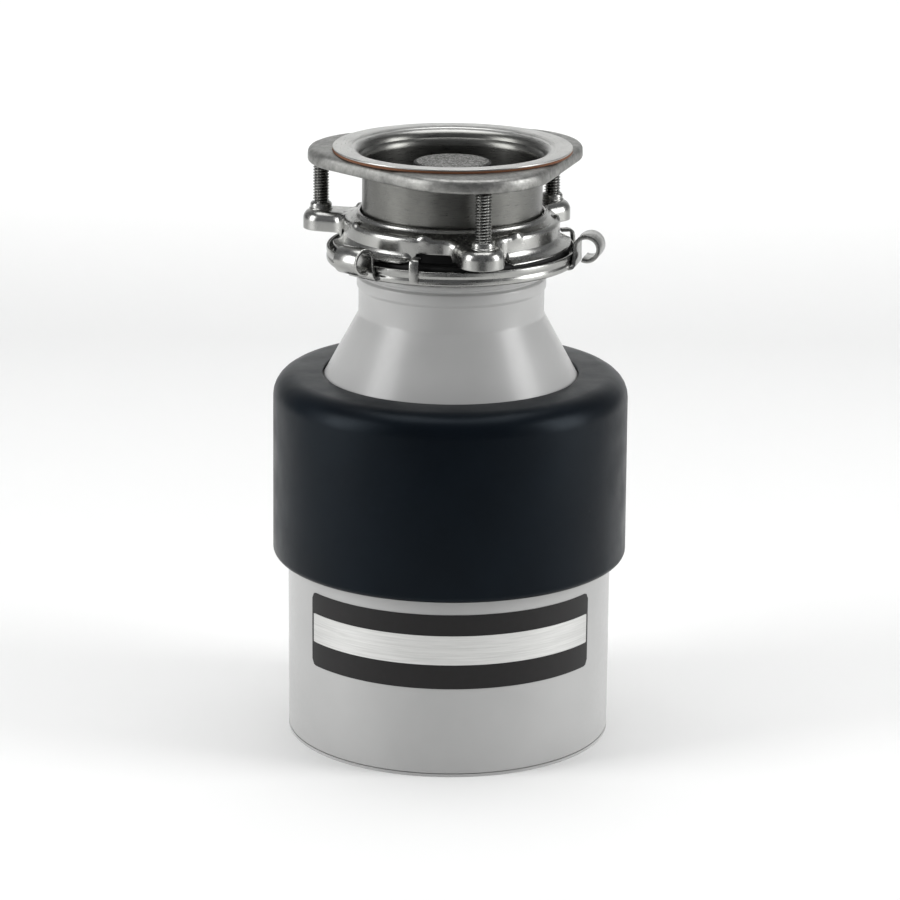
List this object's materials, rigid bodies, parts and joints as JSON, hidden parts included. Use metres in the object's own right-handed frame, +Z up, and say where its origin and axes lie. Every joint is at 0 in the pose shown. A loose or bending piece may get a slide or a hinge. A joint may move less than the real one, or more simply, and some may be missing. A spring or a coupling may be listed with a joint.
{
  "type": "kitchen garbage disposal",
  "caption": "Under-sink food waste disposer with a painted motor can, black sound jacket, conical hopper and a quick-lock sink flange mount.",
  "frame": {"origin": "centre of the base on the motor axis", "axes": "+Z up the motor axis to the sink flange; -Y towards the label; +Y towards the discharge outlet"},
  "size_m": [0.1722, 0.1901, 0.29],
  "materials": {
    "gray_paint": "light gray baked enamel",
    "jacket_plastic": "moulded satin blue-black",
    "label_black": "printed black label",
    "polished_stainless": "drawn and polished",
    "stainless": "rolled",
    "speckled_steel": "bead blasted",
    "zinc_steel": "bright zinc plate on pressed steel",
    "galvanized": "galvanised",
    "flange_cast": "cast, plated and partly machined",
    "cast_aluminium": "die cast",
    "shaft_steel": "ground",
    "lamination_steel": "stacked silicon steel",
    "copper": "enamelled copper wire",
    "bronze": "sintered",
    "nylon": "moulded",
    "phenolic": "moulded",
    "red_plastic": "moulded",
    "green_screw": "green dipped",
    "foam": "open-cell",
    "black_rubber": "moulded",
    "fibre": "pressed fibre"
  },
  "bodies": {
    "housing": {"lower_end_frame": "cast_aluminium", "terminal_cover": "zinc_steel", "terminal_cover_screw": "zinc_steel", "ground_screw": "green_screw", "overload_protector": "phenolic", "start_switch": "phenolic", "lower_bearing": "bronze", "lower_thrust_washer": "nylon", "motor_can": "gray_paint", "stator_core": "lamination_steel", "stator_windings": "copper", "upper_end_bell": "cast_aluminium", "upper_bearing": "bronze", "shaft_seal": "black_rubber", "through_bolts": "zinc_steel", "discharge_chamber": "cast_aluminium", "container_gasket": "black_rubber", "container_screws": "zinc_steel", "shredder_ring": "galvanized", "hopper": "gray_paint", "dishwasher_inlet_plug": "gray_paint", "sound_foam": "foam", "sound_jacket": "jacket_plastic", "label_plate": "label_black", "mounting_gasket": "black_rubber", "splash_baffle": "black_rubber", "upper_mounting_ring": "zinc_steel", "ring_nuts": "zinc_steel", "snap_ring": "shaft_steel", "sink_flange": "polished_stainless"},
    "rotor": {"rotor_core": "lamination_steel", "rotor_end_rings": "cast_aluminium", "centrifugal_actuator": "nylon", "rotor_shaft": "shaft_steel", "water_slinger": "black_rubber", "turntable": "stainless", "lug_pins": "stainless", "turntable_nut": "stainless"},
    "lug_1": {"swivel_lug_1": "stainless"},
    "lug_2": {"swivel_lug_2": "stainless"},
    "lower_ring": {"lower_mounting_ring": "zinc_steel"},
    "reset_button": {"reset_button": "red_plastic"},
    "clamp": {"backup_flange": "flange_cast", "fibre_gasket": "fibre"},
    "screw_1": {"mounting_screw_1": "zinc_steel"},
    "screw_2": {"mounting_screw_2": "zinc_steel"},
    "screw_3": {"mounting_screw_3": "zinc_steel"},
    "stopper": {"stopper_body": "black_rubber", "stopper_cap": "speckled_steel"}
  },
  "joints": [
    {"name": "rotor_spin", "type": "hinge", "parent": "housing", "child": "rotor", "pos_m": [0, 0, 0.16], "axis": [0, 0, 1], "continuous": true},
    {"name": "lug_1_swing", "type": "hinge", "parent": "rotor", "child": "lug_1", "pos_m": [0.04, 0, 0.167], "axis": [0, 0, 1], "continuous": true},
    {"name": "lug_2_swing", "type": "hinge", "parent": "rotor", "child": "lug_2", "pos_m": [-0.04, 0, 0.167], "axis": [0, 0, 1], "continuous": true},
    {"name": "ring_turn", "type": "hinge", "parent": "housing", "child": "lower_ring", "pos_m": [0, 0, 0.238], "axis": [0, 0, 1], "range_deg": [-38, 8]},
    {"name": "reset_push", "type": "slide", "parent": "housing", "child": "reset_button", "axis": [0, 0, -1], "range_m": [0, 0.0025]},
    {"name": "clamp_slide", "type": "slide", "parent": "housing", "child": "clamp", "axis": [0, 0, -1], "range_m": [0, 0.014]},
    {"name": "screw_1_turn", "type": "hinge", "parent": "clamp", "child": "screw_1", "pos_m": [0.01446, -0.0647, 0.26], "axis": [0, 0, 1], "continuous": true},
    {"name": "screw_2_turn", "type": "hinge", "parent": "clamp", "child": "screw_2", "pos_m": [0.0488, 0.04488, 0.26], "axis": [0, 0, 1], "continuous": true},
    {"name": "screw_3_turn", "type": "hinge", "parent": "clamp", "child": "screw_3", "pos_m": [-0.06327, 0.01983, 0.26], "axis": [0, 0, 1], "continuous": true},
    {"name": "stopper_lift", "type": "slide", "parent": "housing", "child": "stopper", "axis": [0, 0, 1], "range_m": [0, 0.06]}
  ],
  "couplings": [
    {"joint": "screw_1_turn", "follows": "clamp_slide", "rad_per_m": -4453},
    {"joint": "screw_2_turn", "follows": "clamp_slide", "rad_per_m": -4453},
    {"joint": "screw_3_turn", "follows": "clamp_slide", "rad_per_m": -4453}
  ]
}
